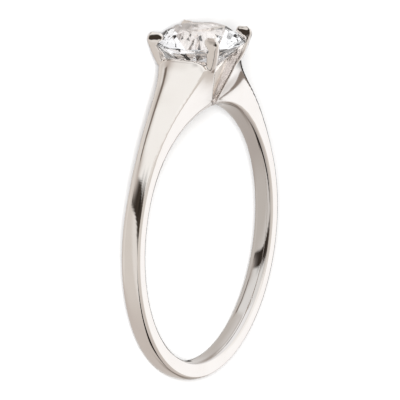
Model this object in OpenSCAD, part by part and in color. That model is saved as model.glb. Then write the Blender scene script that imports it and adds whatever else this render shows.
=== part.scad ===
/* [Band] */
// Inside diameter of the finger hole
finger_d = 16.9; // [14:0.1:22]
// Thickness of the band at its side faces
band_t = 1.07; // [0.8:0.01:1.6]
// Height of the dome across the outside of the band
band_dome = 0.16; // [0.05:0.01:0.3]
// Width of the band along the finger
band_w = 1.32; // [1:0.02:2.4]

/* [Shoulders] */
// Angle above the band's middle where the shoulder leaves the round band
leave_angle = 20.5; // [10:0.5:30]
// How far the shoulder keeps its first direction
leave_pull = 6.25; // [4:0.05:7]
// Half distance between the outer corners of the shoulders at their tops
shoulder_top_x = 2.5; // [2:0.01:3]
// Height of the middle of the shoulders' top edge above the middle of the finger hole
shoulder_top_z = 11.9; // [11.6:0.05:12.2]
// How far the shoulder keeps its upright direction below the top
top_pull = 1.3; // [0.5:0.02:3]
// Half width of the shoulder at the foot of the prongs
flare_w = 1.75; // [1.2:0.01:2.2]
// How sharply the width grows towards the head
flare_power = 2.7; // [1.5:0.05:4]

/* [Head] */
// Height of the bottom of the V-shaped gap
notch_z = 8.85; // [8.7:0.01:9.6]
// Half width of the gap at its bottom
notch_floor_x = 0.1; // [0.05:0.01:0.4]
// Half width of the gap at the girdle
notch_top_x = 1.86; // [1.2:0.01:2.1]
// Radius of the hollow cone under the stone, at the finger hole
hollow_foot_r = 0.5; // [0.3:0.01:0.9]
// Radius of the hollow cone at the shoulders' top edge
hollow_top_r = 2.22; // [1.8:0.01:2.3]

/* [Prongs] */
// Outer corner of a prong beside the girdle, across the finger
prong_out_x = 2.38; // [2.1:0.01:2.8]
// Outer corner of a prong beside the girdle, along the finger
prong_out_y = 2.57; // [2.1:0.01:2.9]
// Thickness of a prong along the finger
prong_t = 0.62; // [0.4:0.01:0.9]
// Diameter of a claw
claw_d = 0.78; // [0.5:0.01:1]
// Height of the claws' tops
claw_top_z = 13.5; // [13.2:0.01:13.9]

/* [Stone] */
// Girdle diameter of the stone
stone_d = 5.9; // [4:0.05:7]
// Table width as a share of the girdle diameter
table_share = 0.56; // [0.5:0.01:0.65]
// Height of the table above the middle of the finger hole
table_z = 13.72; // [13.4:0.01:14.2]
// Slope of the crown's main facets
crown_angle = 34.5; // [30:0.5:38]
// Slope of the pavilion's main facets
pavilion_angle = 40.8; // [39:0.1:43]
// Thickness of the girdle
girdle_t = 0.12; // [0.05:0.01:0.3]
// Gap between the stone and the metal
stone_gap = 0.04; // [0.02:0.01:0.1]

/* [Hidden] */
$fn = 96;
// Straight pieces in each curved stretch of an outline, and across a dome
curve_steps = 16;
dome_steps = 12;
// Enough to cut cleanly past any face
past = 20;

// The ring is drawn standing up: the finger runs along y and the stone is at the top.
bore_r = finger_d / 2;
band_r = bore_r + band_t;
band_half_w = band_w / 2;
// Sections reach this far in, so that the finger hole is cut clean out of them
foot_r = bore_r - 1;
// The band keeps its width up to where the shoulders leave it
flare_from_z = band_r * sin(leave_angle);

// Prongs stand widest here, just above the girdle
prong_wide_z = 13.05;
// Prongs run straight from the bottom of the gap up to here, then turn upright
prong_bend_z = 12.35;
prong_bend_y = 2.43;
prong_foot_y = 1.08;
// Outer side of a prong, across the finger, where it rises out of the shoulder
prong_foot_x = 1.5;
// Inner side of a prong is free of the shoulder above here
prong_free_z = 11.5;
// Shoulders end at this height beside the prongs, and rise in a dome between them
ledge_z = 11.45;
ledge_dome = shoulder_top_z - ledge_z;

// The shoulders start this much larger than the band that laps into them
lap_step = 0.01;
lap_angle = 1.5;

// Distance of a claw's elbow and of its end from the stone's middle line
claw_elbow_r = 3.1;
claw_end_r = 2.75;
claw_angles = [45, 135, 225, 315];

stone_r = stone_d / 2;
table_r = stone_r * table_share;
girdle_top_z = table_z - (stone_r - table_r) * tan(crown_angle);
girdle_foot_z = girdle_top_z - girdle_t;
culet_z = girdle_foot_z - stone_r * tan(pavilion_angle);
// Stars reach half way from the table's edge to the girdle
star_r = (table_r * cos(22.5) + stone_r) / 2;
star_z = table_z - (star_r * cos(22.5) - table_r) * tan(crown_angle);
// Lower girdle facets leave this share of the radius to the main facets
lower_r = stone_r * 0.23;
lower_z = culet_z + lower_r * cos(22.5) * tan(pavilion_angle);

// The ring lies on the edge of its stone and on the far edge of its band, so it leans this much
rest_tilt = atan((stone_r - band_half_w) / (girdle_foot_z + band_r));

function bezier(a, b, c, d, t) =
    pow(1 - t, 3) * a + 3 * pow(1 - t, 2) * t * b + 3 * (1 - t) * t * t * c + pow(t, 3) * d;
function curve(a, b, c, d) =
    [for (i = [0 : curve_steps]) bezier(a, b, c, d, i / curve_steps)];
function flipped(points) =
    [for (i = [len(points) - 1 : -1 : 0]) [-points[i][0], points[i][1]]];
function flare(z) =
    band_half_w
    + (flare_w - band_half_w) * pow(max(0, z - flare_from_z) / (ledge_z - flare_from_z), flare_power);
function notch_x(z) =
    notch_floor_x + (notch_top_x - notch_floor_x) * (z - notch_z) / (girdle_top_z - notch_z);

// Stands a front outline up, to run right through along the finger
module front_slab(outline) {
    rotate([90, 0, 0])
        linear_extrude(height = past, center = true)
            polygon(outline);
}

// Stands a side outline up, to run right through across the finger
module side_slab(outline) {
    rotate([90, 0, 90])
        linear_extrude(height = past, center = true)
            polygon(outline);
}

// Turns the finished ring from standing to lying on its side
module at_rest() {
    rotate([90 - rest_tilt, 0, 0])
        children();
}

// One section of the metal, drawn as [distance from the finger's axis, place along the finger]:
// a flat foot inside the finger hole and a dome across the outside
function section(r, foot_half_w, half_w, dome, power) = concat(
    [[foot_r, -foot_half_w]],
    [for (i = [0 : dome_steps])
        let (share = 2 * i / dome_steps - 1)
            [r + dome * (1 - pow(abs(share), power)), share * half_w]],
    [[foot_r, foot_half_w]]);

// Round part of the band, which laps a little way into the shoulders
module band() {
    end_angle = leave_angle + lap_angle;
    rotate([90, 0, 0])
        rotate([0, 0, 180 - end_angle])
            rotate_extrude(angle = 180 + 2 * end_angle)
                polygon(section(band_r, band_half_w, band_half_w, band_dome, 2));
}

// Both shoulders with the block of the head between them, swept from one end of the
// round band over the top to the other end
module shoulders() {
    leave = band_r * [cos(leave_angle), sin(leave_angle)];
    top = [shoulder_top_x, ledge_z];
    side = curve(leave, leave + leave_pull * [-sin(leave_angle), cos(leave_angle)],
        top - [0, top_pull], top);
    middle = [0, ledge_z];
    outline = concat(side, [middle], flipped(side));
    last = len(outline) - 1;
    domes = [for (i = [0 : last])
        let (rise = min(i, last - i) / curve_steps)
            rise > 1 ? ledge_dome : band_dome + (ledge_dome - band_dome) * pow(rise, 3)];
    sections = [for (i = [0 : last])
        let (r = norm(outline[i]), angle = atan2(outline[i][1], outline[i][0]))
            [for (p = section(r + lap_step, flare(foot_r * sin(angle)) + lap_step,
                flare(outline[i][1]) + lap_step, domes[i], 2 + 2 * min(1, min(i, last - i) / curve_steps)))
                [p[0] * cos(angle), p[1], p[0] * sin(angle)]]];
    size = len(sections[0]);
    points = [for (ring = sections) for (p = ring) p];
    walls = [for (i = [0 : last - 1]) for (j = [0 : size - 1])
        let (a = i * size + j, b = i * size + (j + 1) % size)
            each [[a, a + size, b], [b, a + size, b + size]]];
    ends = [[for (j = [0 : size - 1]) j], [for (j = [size - 1 : -1 : 0]) last * size + j]];
    polyhedron(points, concat(walls, ends));
}

// Four prongs, each a bar that leans outward in both directions
module prongs() {
    bar = [[0, notch_z], [prong_foot_x, notch_z], [prong_out_x - 0.1, prong_bend_z],
        [prong_out_x, prong_wide_z], [notch_top_x, prong_wide_z], [0, prong_wide_z]];
    outside = curve([prong_bend_y, prong_bend_z], [prong_bend_y + 0.1, prong_bend_z + 0.25],
        [prong_out_y, prong_wide_z - 0.3], [prong_out_y, prong_wide_z]);
    edge = concat([[prong_foot_y, notch_z]], outside);
    inside = [[prong_out_y - prong_t, prong_wide_z], [prong_bend_y - prong_t, prong_bend_z],
        [prong_bend_y - prong_t - 0.35, prong_free_z], [0, prong_free_z]];
    half = concat(edge, inside, [[0, notch_z]]);
    intersection() {
        front_slab(concat(bar, flipped(bar)));
        union() {
            side_slab(half);
            side_slab(flipped(half));
        }
    }
}

// One claw: a round bar that turns in over the crown and ends in a round tip
module claw() {
    bar_r = claw_d / 2;
    centre_z = claw_top_z - bar_r;
    translate([claw_elbow_r, 0, prong_wide_z - 0.25])
        cylinder(r = bar_r, h = centre_z - prong_wide_z + 0.25);
    translate([claw_elbow_r, 0, centre_z])
        sphere(r = bar_r);
    translate([claw_end_r, 0, centre_z])
        rotate([0, 90, 0])
            cylinder(r = bar_r, h = claw_elbow_r - claw_end_r);
    translate([claw_end_r, 0, centre_z])
        sphere(r = bar_r);
}

// The V-shaped gap that parts the head into two wings
module notch() {
    high_z = claw_top_z + 1;
    edge = [[notch_floor_x, notch_z], [notch_x(girdle_top_z), girdle_top_z],
        [notch_x(girdle_top_z), high_z]];
    front_slab(concat(edge, flipped(edge)));
}

// Hollow under the stone, a cone that opens into the finger hole
module head_hollow() {
    slope = (hollow_top_r - hollow_foot_r) / (shoulder_top_z - bore_r);
    over = 0.3;
    translate([0, 0, foot_r])
        cylinder(r1 = hollow_foot_r - slope * (bore_r - foot_r), r2 = hollow_top_r + over * slope,
            h = shoulder_top_z + over - foot_r);
}

// The stone's turned outline with a small gap all round
module seat() {
    g = stone_gap;
    rotate_extrude()
        polygon([[0, culet_z - 2 * g], [lower_r + g, lower_z - g], [stone_r + g, girdle_foot_z - g / 2],
            [stone_r + g, girdle_top_z + g / 2], [star_r + g, star_z + g], [table_r + g, table_z + g],
            [0, table_z + g]]);
}

module ring_setting() {
    color([0.86, 0.84, 0.82])
        at_rest()
            difference() {
                union() {
                    band();
                    difference() {
                        union() {
                            shoulders();
                            prongs();
                        }
                        notch();
                        head_hollow();
                    }
                    for (angle = claw_angles)
                        rotate([0, 0, angle])
                            claw();
                }
                rotate([90, 0, 0])
                    cylinder(r = bore_r, h = past, center = true);
                seat();
            }
}

// Points of one row of the cut, all at one radius and height
function row(count, r, z, turn) =
    [for (i = [0 : count - 1]) let (a = turn + i * 360 / count) [r * cos(a), r * sin(a), z]];
function backward(face) = [for (i = [len(face) - 1 : -1 : 0]) face[i]];

// Round brilliant cut: table, stars, crown mains, upper and lower girdle facets, pavilion mains
module center_stone() {
    stars_at = 8;
    girdle_at = 16;
    foot_at = 32;
    lower_at = 48;
    culet_at = 56;
    points = concat(row(8, table_r, table_z, 0), row(8, star_r, star_z, 22.5),
        row(16, stone_r, girdle_top_z, 0), row(16, stone_r, girdle_foot_z, 0),
        row(8, lower_r, lower_z, 22.5), [[0, 0, culet_z]]);
    table = [[for (i = [0 : 7]) i]];
    stars = [for (i = [0 : 7]) [i, stars_at + i, (i + 1) % 8]];
    crown_mains = [for (i = [0 : 7])
        [i, stars_at + (i + 7) % 8, girdle_at + 2 * i, stars_at + i]];
    upper_girdle = [for (i = [0 : 15])
        [stars_at + floor(i / 2), girdle_at + i, girdle_at + (i + 1) % 16]];
    girdle = [for (i = [0 : 15])
        [girdle_at + i, foot_at + i, foot_at + (i + 1) % 16, girdle_at + (i + 1) % 16]];
    lower_girdle = [for (i = [0 : 15])
        [foot_at + i, lower_at + floor(i / 2), foot_at + (i + 1) % 16]];
    pavilion_mains = [for (i = [0 : 7])
        [foot_at + 2 * i, lower_at + (i + 7) % 8, culet_at, lower_at + i]];
    faces = concat(table, stars, crown_mains, upper_girdle, girdle, lower_girdle, pavilion_mains);
    color([0.95, 0.96, 0.98, 0.6])
        at_rest()
            polyhedron(points, [for (face = faces) backward(face)]);
}

ring_setting();
center_stone();
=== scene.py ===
# %% [markdown]
# A solitaire ring in polished white gold with one round brilliant, lying on its side.
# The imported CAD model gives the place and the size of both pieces. Here each is made
# again with the softness of a cast and polished ring, and with a cut stone of its own.

from math import atan, atan2, cos, degrees, hypot, pi, radians, sin, tan

import bmesh
import bpy
from mathutils import Matrix, Vector


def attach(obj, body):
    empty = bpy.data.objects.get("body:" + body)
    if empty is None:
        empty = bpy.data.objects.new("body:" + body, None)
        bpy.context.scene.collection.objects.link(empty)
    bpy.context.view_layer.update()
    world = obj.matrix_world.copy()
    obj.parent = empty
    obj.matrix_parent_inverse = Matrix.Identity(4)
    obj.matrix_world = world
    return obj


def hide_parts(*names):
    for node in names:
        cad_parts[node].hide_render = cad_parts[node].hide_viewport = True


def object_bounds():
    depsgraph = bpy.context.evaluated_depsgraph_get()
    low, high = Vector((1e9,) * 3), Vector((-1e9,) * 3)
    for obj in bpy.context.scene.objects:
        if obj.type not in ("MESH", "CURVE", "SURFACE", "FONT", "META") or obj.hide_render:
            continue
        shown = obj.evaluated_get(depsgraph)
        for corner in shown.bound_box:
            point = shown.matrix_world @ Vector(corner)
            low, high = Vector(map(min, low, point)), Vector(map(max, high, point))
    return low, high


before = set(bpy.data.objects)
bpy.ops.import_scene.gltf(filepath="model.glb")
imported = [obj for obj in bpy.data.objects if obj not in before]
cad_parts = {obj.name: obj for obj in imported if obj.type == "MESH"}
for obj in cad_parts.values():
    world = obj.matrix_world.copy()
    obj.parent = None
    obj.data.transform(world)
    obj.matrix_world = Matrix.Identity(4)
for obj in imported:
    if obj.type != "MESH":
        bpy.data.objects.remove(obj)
cad_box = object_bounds()
print("CAD box in mm:", [[round(1000 * c, 2) for c in corner] for corner in cad_box])

# %% [markdown]
# A ring is measured in millimetres and drawn standing up: x runs across the shoulders,
# y along the finger and z up to the stone. Each piece is modelled so, with one Blender
# unit for a millimetre, because booleans and remeshing work best near that size. Then
# it is laid on its side, as a dropped ring comes to rest on its stone and its band.

# %% Sizes
MM = 0.001
BORE_R = 8.45
BAND_R = 9.52
BAND_HALF_W = 0.66
STONE_R, TABLE_SHARE, TABLE_Z = 2.95, 0.56, 13.72
CROWN_ANGLE, PAVILION_ANGLE, GIRDLE_T = radians(34.5), radians(40.8), 0.12
table_r = STONE_R * TABLE_SHARE
girdle_top = TABLE_Z - (STONE_R - table_r) * tan(CROWN_ANGLE)
girdle_foot = girdle_top - GIRDLE_T
REST_TILT = atan((STONE_R - BAND_HALF_W) / (girdle_foot + BAND_R))
LAY_DOWN = Matrix.Rotation(pi / 2 - REST_TILT, 4, "X") @ Matrix.Scale(MM, 4)
print("at rest the ring leans by", round(degrees(REST_TILT), 2), "degrees")

# %% [markdown]
# Blender's operators act on all that is selected, and a modifier only shows its effect
# until it is applied. So a few helpers pick out one piece, apply each modifier at once,
# and say what a piece measures, which shows at once where a cut went wrong.


# %% Helpers for one piece
def only(piece):
    """Makes this the one object that operators act on."""
    if bpy.context.object and bpy.context.object.mode != "OBJECT":
        bpy.ops.object.mode_set(mode="OBJECT")
    bpy.ops.object.select_all(action="DESELECT")
    piece.select_set(True)
    bpy.context.view_layer.objects.active = piece


def finish_with(piece, kind, **settings):
    """Adds a modifier with its settings and applies it."""
    only(piece)
    modifier = piece.modifiers.new(kind.title(), kind)
    for name, value in settings.items():
        setattr(modifier, name, value)
    bpy.ops.object.modifier_apply(modifier=modifier.name)


def tell(piece, stage):
    """Prints the size of a piece, and its open edges, of which a solid has none."""
    mesh = bmesh.new()
    mesh.from_mesh(piece.data)
    volume = mesh.calc_volume(signed=True)
    open_edges = sum(not edge.is_manifold for edge in mesh.edges)
    print(f"{stage}: {len(mesh.verts)} points, {volume:.2f} cubic mm, {open_edges} open edges")
    mesh.free()


def face_outwards(piece):
    """Turns every face of a closed piece outwards."""
    only(piece)
    bpy.ops.object.mode_set(mode="EDIT")
    bpy.ops.mesh.select_all(action="SELECT")
    bpy.ops.mesh.normals_make_consistent(inside=False)
    bpy.ops.object.mode_set(mode="OBJECT")


def cut_with(piece, tool):
    """Cuts the tool's shape out of the piece."""
    finish_with(piece, "BOOLEAN", object=tool, operation="DIFFERENCE", solver="EXACT")


# %% [markdown]
# Most of the metal is a section that changes along a line. It could be skinned over a
# curve, but then the section couldn't change its shape. So a ring of points is extruded
# from station to station, and each point keeps its number, by which it is laid on its
# place in the next section.


# %% Helpers for drawing out
def lay_section(piece, section):
    """Moves the selected ring of points onto a section of the piece."""
    mesh = bmesh.from_edit_mesh(piece.data)
    # Extruding copies each point's number in its section on to the next
    place = mesh.verts.layers.int["place"]
    for point in mesh.verts:
        if point.select:
            point.co = section[point[place]]
    bmesh.update_edit_mesh(piece.data)


def draw_out(name, sections, closed):
    """Extrudes a ring of points through all sections, with its ends closed or open."""
    bpy.ops.object.select_all(action="DESELECT")
    bpy.ops.mesh.primitive_circle_add(vertices=len(sections[0]), radius=1)
    piece = bpy.context.object
    piece.name = piece.data.name = name
    places = piece.data.attributes.new("place", "INT", "POINT")
    for number, slot in enumerate(places.data):
        slot.value = number
    bpy.ops.object.mode_set(mode="EDIT")
    bpy.ops.mesh.select_all(action="SELECT")
    lay_section(piece, sections[0])
    if closed:
        bpy.ops.mesh.edge_face_add()
        bpy.ops.mesh.select_all(action="SELECT")
    for section in sections[1:]:
        bpy.ops.mesh.extrude_region_move()
        lay_section(piece, section)
    bpy.ops.object.mode_set(mode="OBJECT")
    face_outwards(piece)
    return piece


# %% [markdown]
# The camera stands where the photograph was taken from: a long lens, 29 degrees round
# from the side of a shoulder and 13 degrees up, of a ring that isn't laid down yet.

# %% Camera
TURN, RISE, ROLL = radians(28.73), radians(13.3), radians(-0.43)
DISTANCE, FOCAL_PX, FRAME_PX, SENSOR = 400.0, 6123.6, 400, 36.0
SHIFT_X, SHIFT_Y = 0.067, -2.120
CLIP_NEAR, CLIP_FAR = 0.05, 5.0

back = Vector((cos(TURN) * cos(RISE), sin(TURN) * cos(RISE), sin(RISE)))
right = Vector((-sin(TURN), cos(TURN), 0.0))
up = back.cross(right)
spot = -SHIFT_X * right - SHIFT_Y * up + DISTANCE * back
rolled_right = cos(ROLL) * right + sin(ROLL) * up
rolled_up = cos(ROLL) * up - sin(ROLL) * right
lay_turn = Matrix.Rotation(pi / 2 - REST_TILT, 3, "X")
camera_turn = lay_turn @ Matrix((rolled_right, rolled_up, back)).transposed()

camera_data = bpy.data.cameras.new("camera")
camera_data.sensor_width = SENSOR
camera_data.lens = FOCAL_PX * SENSOR / FRAME_PX
camera_data.clip_start, camera_data.clip_end = CLIP_NEAR, CLIP_FAR
camera = bpy.data.objects.new("camera", camera_data)
bpy.context.scene.collection.objects.link(camera)
camera.matrix_world = Matrix.Translation(LAY_DOWN @ spot) @ camera_turn.to_4x4()
bpy.context.scene.camera = camera
print("camera stands at", [round(c, 4) for c in camera.location])

# %% [markdown]
# The metal is one casting. Its band and shoulders are a single bar whose section
# changes on the way up: round-backed and narrow below, flat with rolled edges and
# flared towards the head. The shoulder's outer edge is a smooth curve, drawn by two
# end points and a pull at each of them, as in a drawing program.

# %% Outline of the shoulder
LEAVE_ANGLE = radians(20.5)
TOP_EDGE, TOP_ANGLE = (2.229, 11.9), radians(25)
LEAVE_PULL, TOP_PULL = 5.883, 2.623
HALVINGS = 24

leave = (BAND_R * cos(LEAVE_ANGLE), BAND_R * sin(LEAVE_ANGLE))
after_leave = (leave[0] - LEAVE_PULL * sin(LEAVE_ANGLE), leave[1] + LEAVE_PULL * cos(LEAVE_ANGLE))
before_top = (TOP_EDGE[0] + TOP_PULL * sin(TOP_ANGLE), TOP_EDGE[1] - TOP_PULL * cos(TOP_ANGLE))
guides = (leave, after_leave, before_top, TOP_EDGE)


def on_outline(t):
    """Point and outward direction at a share of the shoulder's outer edge line."""
    weights = ((1 - t) ** 3, 3 * t * (1 - t) ** 2, 3 * t * t * (1 - t), t ** 3)
    x, z = (sum(w * g[i] for w, g in zip(weights, guides)) for i in (0, 1))
    slopes = ((1 - t) ** 2, 2 * t * (1 - t), t * t)
    dx, dz = (sum(w * (b[i] - a[i]) for w, a, b in zip(slopes, guides, guides[1:]))
              for i in (0, 1))
    size = hypot(dx, dz)
    return x, z, dz / size, -dx / size


def outline_x(z):
    """Distance of the shoulder's outer edge from the middle at a height."""
    low, high = 0.0, 1.0
    for _ in range(HALVINGS):
        middle = (low + high) / 2
        low, high = (middle, high) if on_outline(middle)[1] < z else (low, middle)
    return on_outline(low)[0]


print("the shoulder runs from", [round(c, 2) for c in leave], "to", TOP_EDGE)

# %% [markdown]
# Seen along the shoulders, the metal grows wider towards the head, slowly at first.
# High up, its side faces also lean out towards the middle of the ring.

# %% Width along the finger
FLARE_W, FLARE_POWER, FLARE_TOP_Z = 1.75, 2.7, 11.45
flare_from_z = BAND_R * sin(LEAVE_ANGLE)
LEAN, LEAN_FROM_Z, LEAN_POWER = 0.15, 8.6, 1.38


def half_width(x, z):
    """Half width of the metal along the finger."""
    grown = max(0.0, z - flare_from_z) / (FLARE_TOP_Z - flare_from_z)
    width = BAND_HALF_W + (FLARE_W - BAND_HALF_W) * grown ** FLARE_POWER
    if z > LEAN_FROM_Z:
        inwards = max(0.0, 1 - x / outline_x(min(z, TOP_EDGE[1])))
        width += LEAN * (z - LEAN_FROM_Z) ** LEAN_POWER * inwards
    return width


print("half width at the shoulder's top edge:", round(half_width(*TOP_EDGE), 2), "mm")

# %% [markdown]
# Along the band the outer face is a low dome, and the finger hole is rounded off towards
# its edges. A section is written as a row of points, always the same number of them, so
# that every point of one section is joined to the same point of the next. That keeps
# the long faces clean, and a clean face is what makes a reflection run straight.

# %% Section of the bar
OUTER_SHARES = [-1, -0.97, -0.93, -0.88, -0.82, -0.74, -0.64, -0.5, -0.34, -0.17]
OUTER_SHARES = OUTER_SHARES + [0] + [-s for s in reversed(OUTER_SHARES)]
# The side faces are flat in the middle and rolled a little towards both of their edges
SIDE_SHARES = (0.05, 0.1, 0.16, 0.24, 0.38, 0.5, 0.62, 0.76, 0.84, 0.9, 0.95)
ROLL_WIDE, ROLL_DEEP = 0.22, 0.04
# A finger hole that is rounded off at its edges slips on with ease
INNER_SHARES = (0.1, 0.3, 0.45, 0.6, 0.72, 0.82, 0.9, 0.96, 1)
COMFORT, COMFORT_POWER = 0.16, 3.5


def rolled_off(from_edge):
    """How far the side face falls back at a distance from its edge."""
    return ROLL_DEEP * max(0.0, 1 - from_edge / ROLL_WIDE) ** 2


def side(inner, outer):
    """Half of the finger hole's face and the side face, from the middle outwards."""
    (qx, qz), (px, pz) = inner, outer
    thick = hypot(px - qx, pz - qz)
    ex, ez = (px - qx) / thick, (pz - qz) / thick
    rows = []
    for share in INNER_SHARES:
        deep = COMFORT * share ** COMFORT_POWER
        x, z = qx + ex * deep, qz + ez * deep
        rows.append((x, (half_width(x, z) - ROLL_DEEP) * share, z))
    flat_part = thick - COMFORT
    for share in SIDE_SHARES:
        reach = COMFORT + flat_part * share
        x, z = qx + ex * reach, qz + ez * reach
        rows.append((x, half_width(x, z) - rolled_off(flat_part * min(share, 1 - share)), z))
    return rows


def bar_section(inner, outer_points):
    """One closed section: finger hole, side, outer face, side."""
    last = outer_points[-1]
    rows = side(inner, (last[0], last[2]))
    low = [(x, -y, z) for x, y, z in reversed(rows)]
    return rows + list(reversed(outer_points)) + low


print("a side has", len(INNER_SHARES) + len(SIDE_SHARES), "points, the outer face",
      len(OUTER_SHARES))

# %% [markdown]
# Now the sections are worked out in order: round half of the band, up the shoulder, and
# in from its arched top to the middle. The other half of the ring is its mirror image.

# %% Draw the bar out
CROWN, CROWN_TOP = 0.15, 0.18
DOME_POWER, DOME_POWER_TOP = 2.6, 4
# The dome grows squarer on the way up, and is at its squarest five eighths of the way
DOME_GAIN = 1.6
ARCH, ARCH_POWER = 0.45, 5
BAND_STEPS, SHOULDER_STEPS, LEDGE_STEPS = 170, 90, 14
MERGE = 0.001
# Share of the outline that the edges stop short of the middle at the arched top
FINE = 1000
arch_foot_z = TOP_EDGE[1] - ARCH
edge_stop = next(k for k in range(FINE) if on_outline(1 - k / FINE)[1] < arch_foot_z) / FINE

sections = []
edge_y = BAND_HALF_W - ROLL_DEEP
for step in range(BAND_STEPS):
    angle = -pi / 2 + (pi / 2 + LEAVE_ANGLE) * step / BAND_STEPS
    c, s = cos(angle), sin(angle)
    outer = []
    for u in OUTER_SHARES:
        r = BAND_R + CROWN * (1 - abs(u) ** DOME_POWER)
        outer.append((r * c, u * edge_y, r * s))
    sections.append(bar_section((BORE_R * c, BORE_R * s), outer))
for step in range(SHOULDER_STEPS + 1):
    t = step / SHOULDER_STEPS
    crown = CROWN + (CROWN_TOP - CROWN) * t
    power = DOME_POWER + (DOME_POWER_TOP - DOME_POWER) * min(1, DOME_GAIN * t)
    edge_x, edge_z = on_outline(t * (1 - edge_stop))[:2]
    width = half_width(edge_x, edge_z) - ROLL_DEEP
    outer = []
    for u in OUTER_SHARES:
        x, z, nx, nz = on_outline(t * (1 - edge_stop * abs(u) ** ARCH_POWER))
        rise = crown * (1 - abs(u) ** power)
        outer.append((x + nx * rise, u * width, z + nz * rise))
    angle = atan2(edge_z, edge_x)
    sections.append(bar_section((BORE_R * cos(angle), BORE_R * sin(angle)), outer))
for step in range(1, LEDGE_STEPS + 1):
    left = 1 - step / LEDGE_STEPS
    edge_x, edge_z = outer[-1][0] * left, outer[-1][2]
    width = half_width(edge_x, edge_z) - ROLL_DEEP
    ledge = [(x * left, u * width, z) for u, (x, _, z) in zip(OUTER_SHARES, outer)]
    angle = atan2(edge_z, edge_x)
    sections.append(bar_section((BORE_R * cos(angle), BORE_R * sin(angle)), ledge))

setting = draw_out("polished_setting", sections, closed=False)
finish_with(setting, "MIRROR", use_axis=(True, False, False), merge_threshold=MERGE)
face_outwards(setting)
tell(setting, "bar")

# %% [markdown]
# The head is opened as a jeweller would saw and drill it: a V-shaped gap from the
# front to the back leaves two wings, and a cone under the stone lets light into it.

# %% Open the head
GAP_FLOOR_Z, GAP_FLOOR_R, ARC_END, ARC_STEP = 8.83, 0.34, 75, 15
# Half of the gap at a height: it opens quickly at first and stands steeper higher up
GAP_SIDE = ((0.68, 9.69), (1.28, 10.92), (1.62, 11.86), (1.98, 13.0), (2.9, 16.0))
CUT_LENGTH = 20.0
HOLLOW_R, HOLLOW_SLOPE, HOLLOW_POINTS = 0.5, 0.4986, 256
HOLLOW_FROM_Z, HOLLOW_TO_Z = 7.8, 12.6

floor_arc = [(GAP_FLOOR_R * sin(radians(a)), GAP_FLOOR_Z + GAP_FLOOR_R * (1 - cos(radians(a))))
             for a in range(-ARC_END, ARC_END + 1, ARC_STEP)]
gap_outline = [(-x, z) for x, z in reversed(GAP_SIDE)] + floor_arc + list(GAP_SIDE)
wedge = draw_out("wedge", [[(x, y, z) for x, z in gap_outline]
                           for y in (-CUT_LENGTH / 2, CUT_LENGTH / 2)], closed=True)
tell(wedge, "wedge")
cut_with(setting, wedge)
tell(setting, "with its gap")

bpy.ops.object.select_all(action="DESELECT")
bpy.ops.mesh.primitive_cone_add(
    vertices=HOLLOW_POINTS, radius1=HOLLOW_R + HOLLOW_SLOPE * (HOLLOW_FROM_Z - BORE_R),
    radius2=HOLLOW_R + HOLLOW_SLOPE * (HOLLOW_TO_Z - BORE_R),
    depth=HOLLOW_TO_Z - HOLLOW_FROM_Z, location=(0, 0, (HOLLOW_FROM_Z + HOLLOW_TO_Z) / 2))
cone = bpy.context.object
cut_with(setting, cone)
tell(setting, "opened head")

# %% [markdown]
# Each of the four prongs is a flat bar that leans outwards with the V, and its end is
# bent in over the stone as a claw. One is drawn out and mirrored to the other corners.

# %% Prongs and claws
CHAMFER = 0.1
# How far the foot of a prong lies under the face of its wing, at its two lowest stations
SUNK_LOW, SUNK_HIGH = 0.03, 0.02
PRONG_STATIONS = (
    # height, inner and outer side across the finger, back, front at the inner and outer
    # side, and how far the claw is turned in towards the stone
    (10.6, 1.12, 1.9, 1.1, half_width(1.12, 10.6) - SUNK_LOW,
     half_width(1.9, 10.6) - SUNK_LOW, 0.0),
    (11.1, 1.34, 2.05, 1.3, half_width(1.34, 11.1) - SUNK_HIGH,
     half_width(2.05, 11.1) - SUNK_HIGH, 0.0),
    (11.45, 1.48, 2.14, 1.6, 2.09, 2.06, 0.0), (11.9, 1.65, 2.23, 1.64, 2.29, 2.25, 0.0),
    (12.3, 1.72, 2.34, 1.67, 2.42, 2.38, 0.02), (12.6, 1.74, 2.41, 1.69, 2.5, 2.46, 0.06),
    (12.8, 1.79, 2.47, 1.69, 2.56, 2.52, 0.1), (12.93, 1.84, 2.5, 1.66, 2.59, 2.55, 0.12),
    (13.06, 1.9, 2.49, 1.58, 2.62, 2.59, 0.13), (13.22, 1.965, 2.42, 1.52, 2.62, 2.6, 0.13),
    (13.38, 2.03, 2.35, 1.54, 2.58, 2.56, 0.12), (13.48, 2.06, 2.29, 1.62, 2.5, 2.49, 0.1),
    (13.55, 2.08, 2.23, 1.74, 2.42, 2.42, 0.06), (13.61, 2.1, 2.16, 1.9, 2.34, 2.34, 0.02))

prong_sections = []
for z, inner, outer, back_y, front_in, front_out, tuck in PRONG_STATIONS:
    c = min(CHAMFER, (outer - tuck - inner) / 4, (front_out - back_y) / 4)
    prong_sections.append([
        (inner + tuck + c, front_in, z), (outer - c, front_out, z),
        (outer, front_out - c, z), (outer - tuck, back_y + c, z),
        (outer - tuck - c, back_y, z), (inner + c, back_y, z),
        (inner, back_y + c, z), (inner + tuck, front_in - c, z)])
prong = draw_out("prong", prong_sections, closed=True)
tell(prong, "prong")

# %% [markdown]
# The stone is cut the way it is cut in the trade: a round blank loses one flat after
# another, each at its own angle. Here a flat is a point on it and the way it faces. The
# main facets follow from their angles, and the small ones between them from three
# corners each.

# %% Facets of the stone
EIGHTH = pi / 4
LOWER_SHARE = 0.23
half_step = EIGHTH / 2
culet = girdle_foot - STONE_R * tan(PAVILION_ANGLE)
star_r = (table_r * cos(half_step) + STONE_R) / 2
star_z = TABLE_Z - (star_r * cos(half_step) - table_r) * tan(CROWN_ANGLE)
lower_r = STONE_R * LOWER_SHARE
lower_z = culet + lower_r * cos(half_step) * tan(PAVILION_ANGLE)


def round_point(radius, angle, z):
    """A point at a distance and a turn from the stone's axis."""
    return Vector((radius * cos(angle), radius * sin(angle), z))


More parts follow.
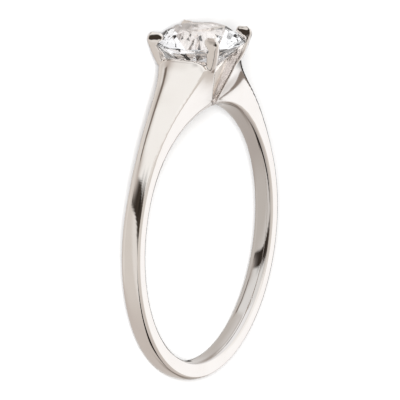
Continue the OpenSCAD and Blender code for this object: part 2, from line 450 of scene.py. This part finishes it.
def flat(a, b, c):
    """A facet through three points, facing away from the stone's middle."""
    normal = (b - a).cross(c - a).normalized()
    inside = Vector((0, 0, girdle_foot))
    return a, normal if normal.dot(a - inside) > 0 else -normal


facets = [(Vector((0, 0, TABLE_Z)), Vector((0, 0, 1)))]
for step in range(8):
    main, after = step * EIGHTH, (step + 1) * EIGHTH
    between = main + half_step
    facets.append((round_point(STONE_R, main, girdle_top),
                   round_point(sin(CROWN_ANGLE), main, cos(CROWN_ANGLE))))
    facets.append((round_point(STONE_R, main, girdle_foot),
                   round_point(sin(PAVILION_ANGLE), main, -cos(PAVILION_ANGLE))))
    star, lower = round_point(star_r, between, star_z), round_point(lower_r, between, lower_z)
    facets.append(flat(round_point(table_r, main, TABLE_Z),
                       round_point(table_r, after, TABLE_Z), star))
    for start, end in ((main, between), (between, after)):
        facets.append(flat(star, round_point(STONE_R, start, girdle_top),
                           round_point(STONE_R, end, girdle_top)))
        facets.append(flat(lower, round_point(STONE_R, start, girdle_foot),
                           round_point(STONE_R, end, girdle_foot)))
print("the stone gets", len(facets), "facets")

# %% [markdown]
# A facet could be a face built from its corners, but cutting finds the corners by
# itself. Each cut takes off what lies outside its plane and closes the stone again.

# %% Cut the stone
BLANK_POINTS, BLANK_SPARE = 96, 0.4
ON_PLANE, SLIVER = 1e-5, 0.002
bpy.ops.object.select_all(action="DESELECT")
bpy.ops.mesh.primitive_cylinder_add(vertices=BLANK_POINTS, radius=STONE_R,
                                    depth=TABLE_Z - culet + BLANK_SPARE,
                                    location=(0, 0, (TABLE_Z + culet) / 2))
stone = bpy.context.object
stone.name = stone.data.name = "round_brilliant"
bpy.ops.object.transform_apply(location=True, rotation=True, scale=True)
bpy.ops.object.mode_set(mode="EDIT")
for spot_on, normal in facets:
    bpy.ops.mesh.select_all(action="SELECT")
    bpy.ops.mesh.bisect(plane_co=spot_on, plane_no=normal, use_fill=True, clear_outer=True,
                        threshold=ON_PLANE)
bpy.ops.mesh.select_all(action="SELECT")
bpy.ops.mesh.remove_doubles(threshold=SLIVER)
bpy.ops.mesh.normals_make_consistent(inside=False)
bpy.ops.object.mode_set(mode="OBJECT")
tell(stone, "stone")

# %% [markdown]
# The stone's seat is cut into the head and the prong with the stone's own profile, turned
# as on a lathe and a little larger, so that metal and stone never touch.

# %% Cut the seat
SEAT_GAP, SEAT_POINTS = 0.05, 128
# A ring of points can't shrink onto the axis itself, so it ends just beside it
NEAR_AXIS = 0.001
profile = ((NEAR_AXIS, culet - 2 * SEAT_GAP), (STONE_R + SEAT_GAP, girdle_foot - SEAT_GAP / 2),
           (STONE_R + SEAT_GAP, girdle_top + SEAT_GAP / 2),
           (table_r + SEAT_GAP, TABLE_Z + SEAT_GAP), (NEAR_AXIS, TABLE_Z + SEAT_GAP))
round_about = [2 * pi * k / SEAT_POINTS for k in range(SEAT_POINTS)]
seat = draw_out("seat", [[(r * cos(a), r * sin(a), z) for a in round_about] for r, z in profile],
                closed=True)
tell(seat, "seat")
for part in (setting, prong):
    cut_with(part, seat)

# %% [markdown]
# The prong is mirrored to the other three corners only now, because one seat is quicker
# to cut than four. All the metal then becomes one object.

# %% Put the four prongs on
finish_with(prong, "MIRROR", use_axis=(True, True, False))
only(setting)
prong.select_set(True)
bpy.ops.object.join()
for tool in (wedge, cone, seat):
    bpy.data.objects.remove(tool)
tell(setting, "all parts of the casting")

# %% [markdown]
# A cast ring has no seams: where the prongs leave the shoulders, the metal runs on. The
# parts overlap, so a voxel remesh turns them into one skin, and a light smoothing then
# rounds each edge by about a tenth of a millimetre, as the polishing wheel does. Bevels
# would need clean edges all round, which the cuts in the head don't leave.

# %% Soften the casting
VOXEL, SMOOTHING, SMOOTH_SHARE = 0.072, 5, 0.5
finish_with(setting, "REMESH", mode="VOXEL", voxel_size=VOXEL, use_smooth_shade=True)
finish_with(setting, "SMOOTH", factor=SMOOTH_SHARE, iterations=SMOOTHING)
tell(setting, "cast metal")

# %% [markdown]
# A ring doesn't stand by itself. It lies on the edge of its stone and the far edge of
# its band. Both pieces are turned into that rest together, and each takes the place of
# its CAD solid in the frame.

# %% Lay both down and give them to the frame
for piece, solid, slot in ((setting, "ring_setting", "polished_white_metal"),
                           (stone, "center_stone", "clear_stone")):
    only(piece)
    piece.matrix_world = LAY_DOWN
    bpy.ops.object.transform_apply(location=True, rotation=True, scale=True)
    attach(piece, "root")
    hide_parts(solid)
    print(piece.name, "measures", [round(side_m / MM, 2) for side_m in piece.dimensions], "mm")

# %% [markdown]
# A shader is a small network. Colours are picked as sRGB hex, as on a screen, and turned
# into linear light, and one helper adds a node, sets it and links it in a single line.


# %% Colours and nodes
def linear(hex_colour):
    """An sRGB hex colour in Blender's linear light."""
    parts = [int(hex_colour[i:i + 2], 16) / 255 for i in (1, 3, 5)]
    return [c / 12.92 if c < 0.04045 else ((c + 0.055) / 1.055) ** 2.4 for c in parts] + [1.0]


def node(tree, kind, links=(), **settings):
    """Adds a node with its settings, and gives its sockets a value or a link."""
    new = tree.nodes.new(kind)
    for name, value in settings.items():
        setattr(new, name, value)
    for socket, source in dict(links).items():
        if hasattr(source, "is_output"):
            tree.links.new(source, new.inputs[socket])
        else:
            new.inputs[socket].default_value = source
    return new.outputs


def new_finish(name, piece):
    """A new material as the only one of a piece: its nodes and its shader."""
    material = bpy.data.materials.new(name)
    material.use_nodes = True
    piece.data.materials.clear()
    piece.data.materials.append(material)
    return material.node_tree, material.node_tree.nodes["Principled BSDF"].inputs


# %% [markdown]
# The metal is white gold under a bright rhodium plate, buffed to a mirror on a felt
# wheel. It could be one plain shiny colour. But a buffed surface is never quite even:
# it has clear and hazy patches a millimetre or two across, and where the plate is thin
# the alloy's warmth shows through.

# %% Colour of the plate
tree, gold = new_finish("rhodium_plated_white_gold", setting)
PER_MM = 1000.0
HAZE_MM = 1.6
THICK_PLATE, THIN_PLATE = "#FFFAF5", "#FAF3ED"
place = node(tree, "ShaderNodeTexCoord")["Object"]
haze = node(tree, "ShaderNodeTexNoise", {"Vector": place, "Scale": PER_MM / HAZE_MM,
                                         "Detail": 3.0})[0]
plate = node(tree, "ShaderNodeMix", {"Factor": haze, "A": linear(THICK_PLATE),
                                     "B": linear(THIN_PLATE)}, data_type="RGBA")[2]

# %% [markdown]
# Inside the finger hole the metal is painted a little greyer. This is painted shade, where
# less light reaches into the ring. The hole is told apart by its distance from the finger's
# axis, once a point's place is turned back to a ring that stands up.

# %% Painted shade in the finger hole
# Painted shade: the finger hole's metal is greyer, where less light reaches inside the ring
HOLE_SHADE_COLOUR = "#E1DCD8"
HOLE_EDGE, HOLE_FADE = (BORE_R + COMFORT) * MM, 0.04 * MM
stand = node(tree, "ShaderNodeMapping", {"Vector": place,
                                         "Rotation": (REST_TILT - pi / 2, 0, 0)})[0]
across = node(tree, "ShaderNodeVectorMath", {0: stand, 1: (1.0, 0.0, 1.0)},
              operation="MULTIPLY")[0]
from_axis = node(tree, "ShaderNodeVectorMath", {0: across}, operation="LENGTH")["Value"]
outside = node(tree, "ShaderNodeMapRange", {"Value": from_axis, "From Min": HOLE_EDGE - HOLE_FADE,
                                            "From Max": HOLE_EDGE + HOLE_FADE})[0]
# The finger hole gets its painted shade here
plate = node(tree, "ShaderNodeMix", {"Factor": outside, "A": linear(HOLE_SHADE_COLOUR), "B": plate},
             data_type="RGBA")[2]

# %% [markdown]
# The gap in the head is too narrow for any wheel, so its walls stay satin. Their metal is
# also painted a darker grey, as painted shade in the narrow gap. They are told apart by a
# line that follows the side of the V, up to where the prongs stand free of the wings.

# %% Satin walls of the gap, with painted shade
# Painted shade: the walls of the narrow gap are painted darker than the polished metal
GAP_SHADE_COLOUR = "#C9C0BA"
GAP_LEAN, GAP_FOOT_X, GAP_FOOT_Z, GAP_TOP_Z = 0.442, 0.7, 9.69, 12.0
FADE_FROM, FADE_TO, TOP_FADE = 0.03 * MM, 0.1 * MM, 0.15
gap_line = (GAP_FOOT_X - GAP_LEAN * GAP_FOOT_Z) * MM
x, _, z = node(tree, "ShaderNodeSeparateXYZ", {0: stand})
beside = node(tree, "ShaderNodeMath", {0: x}, operation="ABSOLUTE")[0]
beside = node(tree, "ShaderNodeMath", {0: z, 1: -GAP_LEAN, 2: beside},
              operation="MULTIPLY_ADD")[0]
buffed_unshaded = node(tree, "ShaderNodeMapRange", {"Value": beside, "From Min": gap_line + FADE_FROM,
                                           "From Max": gap_line + FADE_TO})[0]
above = node(tree, "ShaderNodeMapRange", {"Value": z, "From Min": (GAP_TOP_Z - TOP_FADE) * MM,
                                          "From Max": (GAP_TOP_Z + TOP_FADE) * MM})[0]
buffed_unshaded = node(tree, "ShaderNodeMath", {0: buffed_unshaded, 1: above}, operation="MAXIMUM")[0]
# The gap's walls get their painted shade here; the same mask makes them rougher below
plate = node(tree, "ShaderNodeMix", {"Factor": buffed_unshaded, "A": linear(GAP_SHADE_COLOUR), "B": plate},
             data_type="RGBA")[2]
tree.links.new(plate, gold["Base Color"])

# %% [markdown]
# A mirror polish is a roughness close to nothing, a little higher where the buffing is
# hazy and much higher in the gap. The wheel also leaves hairlines and, where it pressed,
# very shallow waves. Real hairlines are a few thousandths of a millimetre wide: these
# are drawn wider, so that they show.

# %% Polish of the metal
CLEAR, HAZY, GAP_ROUGHNESS = 0.035, 0.075, 0.16
HAZE_FROM, HAZE_TO = 0.4, 0.75
HAIRLINE_MM, HAIRLINE_STRETCH, HAIRLINE_DEEP = 0.12, 0.15, 0.0002 * MM
WAVE_MM, WAVE_DEEP = 2.4, 0.002 * MM
BUMP_STRENGTH = 0.5
polish = node(tree, "ShaderNodeMapRange", {"Value": haze, "From Min": HAZE_FROM,
                                           "From Max": HAZE_TO, "To Min": CLEAR,
                                           "To Max": HAZY})[0]
polish = node(tree, "ShaderNodeMix", {"Factor": buffed_unshaded, "A": GAP_ROUGHNESS, "B": polish})[0]
tree.links.new(polish, gold["Roughness"])
lines = node(tree, "ShaderNodeMapping", {"Vector": place, "Scale": (HAIRLINE_STRETCH, 1.0, 1.0)})[0]
lines = node(tree, "ShaderNodeTexNoise", {"Vector": lines, "Scale": PER_MM / HAIRLINE_MM,
                                          "Detail": 2.0})[0]
waves = node(tree, "ShaderNodeTexNoise", {"Vector": place, "Scale": PER_MM / WAVE_MM,
                                          "Detail": 0.0})[0]
bumps = node(tree, "ShaderNodeBump", {"Height": lines, "Strength": BUMP_STRENGTH,
                                      "Distance": HAIRLINE_DEEP})[0]
bumps = node(tree, "ShaderNodeBump", {"Height": waves, "Normal": bumps,
                                      "Strength": BUMP_STRENGTH, "Distance": WAVE_DEEP})[0]
tree.links.new(bumps, gold["Normal"])
gold["Metallic"].default_value = 1
print("metal finish:", len(tree.nodes), "nodes")

# %% [markdown]
# The stone is a colourless diamond, and its sparkle comes from its cut. A real diamond
# bends light more (2.42), but sends it round inside so often that a render which stops
# after a few turns shows black facets. A lower value keeps the bright, open look of the
# real stone. The rest of the finish is the faintest tint and polish that differs a bit.

# %% Finish of the stone
tree, diamond = new_finish("colourless_diamond", stone)
TINT_MM, POLISH_MM, STONE_IOR = 1.5, 0.4, 1.65
CLEAR_WHITE, FAINT_TINT = "#FFFFFF", "#FCFCFF"
POLISH_FROM, POLISH_TO, LEAST_POLISHED = 0.55, 0.8, 0.015
place = node(tree, "ShaderNodeTexCoord")["Object"]
tint = node(tree, "ShaderNodeTexNoise", {"Vector": place, "Scale": PER_MM / TINT_MM,
                                         "Detail": 1.0})[0]
tint = node(tree, "ShaderNodeMix", {"Factor": tint, "A": linear(CLEAR_WHITE),
                                    "B": linear(FAINT_TINT)}, data_type="RGBA")[2]
tree.links.new(tint, diamond["Base Color"])
polish = node(tree, "ShaderNodeTexNoise", {"Vector": place, "Scale": PER_MM / POLISH_MM,
                                           "Detail": 1.0})[0]
polish = node(tree, "ShaderNodeMapRange", {"Value": polish, "From Min": POLISH_FROM,
                                           "From Max": POLISH_TO, "To Min": 0.0,
                                           "To Max": LEAST_POLISHED})[0]
tree.links.new(polish, diamond["Roughness"])
diamond["Transmission Weight"].default_value = 1
diamond["IOR"].default_value = STONE_IOR
print("stone finish:", len(tree.nodes), "nodes")

# %% [markdown]
# Polished metal has next to no colour of its own and shows the studio round it. So the
# studio is made as a photographer sets one up: soft white cards, grey gaps between them
# and a few black flags that draw the dark lines on the ring. The cards are painted on
# the world, each by its direction, as seen by a ring that stands up.

# %% Cards of the studio
CARDS = (
    # name, turn and rise of its middle, half its width and height, softness of its edge
    # (all in degrees), slant, colour
    ("low light", 199, -61, 180, 6, 3, -0.1, "#D0CDCA"),
    ("grey floor under the ring", 263, -9, 45, 72, 20, 0.1, "#BAB4B0"),
    ("light low side", 10, 2, 39, 34, 17, -1.6, "#D4D2D0"),
    ("white dome", 126, 39, 67, 35, 2, -0.4, "#E7E7E7"),
    ("tall white card", 60, -4, 25, 46, 4, -0.1, "#E8E9E9"),
    ("softbox above", 112, 14, 34, 26, 2, -0.2, "#F9FBFE"),
    ("softbox in front", 172, 12, 42, 27, 5, -0.1, "#F1F2F4"),
    ("grey card behind", 145, -23, 57, 4, 5, -0.6, "#DAD8D7"),
    ("dark gap", 231, -1, 13, 11, 9, -1.4, "#827972"),
    ("dark corner", 19, 33, 15, 22, 6, -0.2, "#48413B"),
    ("tall black flag", 27, -6, 8, 36, 2, -0.3, "#342E29"),
    ("thin black flag", 271, 8, 4, 30, 5, 2.0, "#686058"),
    ("soft shade", 47, -41, 12, 10, 9, -0.2, "#BBB5B1"),
    ("soft dark shade", 73, -41, 23, 5, 8, -2.0, "#A79F99"),
    ("thin dark card", 76, -42, 20, 3, 1.5, -1.0, "#6E655E"),
    ("soft gap", 149, -9, 14, 13, 13, 0.3, "#A69E98"),
    ("dark wall behind", 192, -21, 8, 30, 3, 0.0, "#2A2420"),
    ("second black flag", 14, 15, 5, 34, 8, -0.7, "#3C3630"),
    ("small black card", 30, 3, 9, 5, 10, 0.0, "#161311"),
    ("arched black flag", 297, 17, 16, 19, 3, 1.7, "#1C1815"),
    ("narrow dark card", 199.5, 12, 5.6, 3.1, 0.6, 1.0, "#827973"),
)
BETWEEN_CARDS, STUDIO_STRENGTH, STONE_WHITENS = "#C7C3BF", 1.12, 0.8
print("the studio has", len(CARDS), "cards")

# %% [markdown]
# A direction becomes two angles: the turn about the finger and the rise along it. A card
# covers what is within its width and its height, and fades over its soft edge. A slant
# moves it sideways with the rise, so that its edge leans. Each card lies over those
# before it. What comes through the stone is whitened, because light takes more turns in
# a real stone than in a render, and meets more of the bright cards.

# %% Paint the studio on the world
HALF_TURN = 180
world = bpy.data.worlds.new("studio")
bpy.context.scene.world = world
world.use_nodes = True
studio = world.node_tree
way = node(studio, "ShaderNodeTexCoord")["Generated"]
way = node(studio, "ShaderNodeVectorRotate", {"Vector": way, "Angle": REST_TILT - pi / 2},
           rotation_type="X_AXIS")[0]
x, y, z = node(studio, "ShaderNodeSeparateXYZ", {0: way})
turn = node(studio, "ShaderNodeMath", {0: z, 1: x}, operation="ARCTAN2")[0]
turn = node(studio, "ShaderNodeMath", {0: turn}, operation="DEGREES")[0]
rise = node(studio, "ShaderNodeMath", {0: y}, operation="ARCSINE")[0]
rise = node(studio, "ShaderNodeMath", {0: rise}, operation="DEGREES")[0]
colour = linear(BETWEEN_CARDS)
for name, at_turn, at_rise, half_wide, half_high, soft, slant, tone in CARDS:
    above = node(studio, "ShaderNodeMath", {0: rise, 1: at_rise}, operation="SUBTRACT")[0]
    beside = node(studio, "ShaderNodeMath", {0: above, 1: -slant, 2: turn},
                  operation="MULTIPLY_ADD")[0]
    beside = node(studio, "ShaderNodeMath", {0: beside, 1: at_turn + HALF_TURN,
                                             2: at_turn - HALF_TURN}, operation="WRAP")[0]
    beside = node(studio, "ShaderNodeMath", {0: beside, 1: at_turn}, operation="SUBTRACT")[0]
    cover = []
    for off, half in ((beside, half_wide), (above, half_high)):
        off = node(studio, "ShaderNodeMath", {0: off}, operation="ABSOLUTE")[0]
        edge = {"Value": off, "From Min": half + soft, "From Max": half - soft}
        cover.append(node(studio, "ShaderNodeMapRange", edge, interpolation_type="SMOOTHSTEP")[0])
    cover = node(studio, "ShaderNodeMath", {0: cover[0], 1: cover[1]}, operation="MULTIPLY")[0]
    colour = node(studio, "ShaderNodeMix", {"Factor": cover, "A": colour, "B": linear(tone)},
                  data_type="RGBA", label=name)[2]
path = node(studio, "ShaderNodeLightPath")["Is Transmission Ray"]
in_stone = node(studio, "ShaderNodeMath", {0: path, 1: STONE_WHITENS}, operation="MULTIPLY")[0]
colour = node(studio, "ShaderNodeMix", {"Factor": in_stone, "A": colour, "B": linear(CLEAR_WHITE)},
              data_type="RGBA")[2]
sky = studio.nodes["Background"]
studio.links.new(colour, sky.inputs["Color"])
sky.inputs["Strength"].default_value = STUDIO_STRENGTH
print("studio of", len(studio.nodes), "nodes")

# %% [markdown]
# The floor is a plain sheet of white card. The metal doesn't mirror it, because the
# painted studio already has a floor, which is a grey that suits the metal better.

# %% Floor
FLOOR_SIZE, FLOOR_GAP = 2.0, 0.02 * MM
PAPER_COLOUR, PAPER_ROUGHNESS = "#C8C8C8", 0.9
floor_z = min(cad_box[0].z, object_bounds()[0].z)
bpy.ops.object.select_all(action="DESELECT")
bpy.ops.mesh.primitive_plane_add(size=FLOOR_SIZE, location=(0, 0, floor_z - FLOOR_GAP))
floor = bpy.context.object
floor.name = "floor"
tree, paper = new_finish("white card", floor)
paper["Base Color"].default_value = linear(PAPER_COLOUR)
paper["Roughness"].default_value = PAPER_ROUGHNESS
floor.visible_glossy = False
print("the floor lies at", round(floor.location.z / MM, 2), "mm")

# %% [markdown]
# A large softbox round the camera lifts the floor to white and keeps the ring's shadow
# soft. Metal and stone don't mirror it, because they have the painted cards for that.

# %% Softbox
SOFTBOX_TURN, SOFTBOX_RISE, SOFTBOX_AWAY = radians(348), radians(30), 0.4
SOFTBOX_SIZE, SOFTBOX_WATTS = 0.14, 5.0
softbox_data = bpy.data.lights.new("softbox", "AREA")
softbox_data.shape, softbox_data.size = "DISK", SOFTBOX_SIZE
softbox_data.energy = SOFTBOX_WATTS
softbox = bpy.data.objects.new("softbox", softbox_data)
bpy.context.scene.collection.objects.link(softbox)
softbox_way = Vector((cos(SOFTBOX_TURN) * cos(SOFTBOX_RISE), sin(SOFTBOX_TURN) * cos(SOFTBOX_RISE),
                      sin(SOFTBOX_RISE)))
softbox.matrix_world = (Matrix.Translation(softbox_way * SOFTBOX_AWAY)
                        @ softbox_way.to_track_quat("Z", "Y").to_matrix().to_4x4())
softbox.visible_glossy = softbox.visible_transmission = softbox.visible_camera = False
# White paper stays white in the plain view of colours
bpy.context.scene.view_settings.view_transform = "Standard"
print("the softbox is", SOFTBOX_SIZE, "m across and", SOFTBOX_AWAY, "m away")
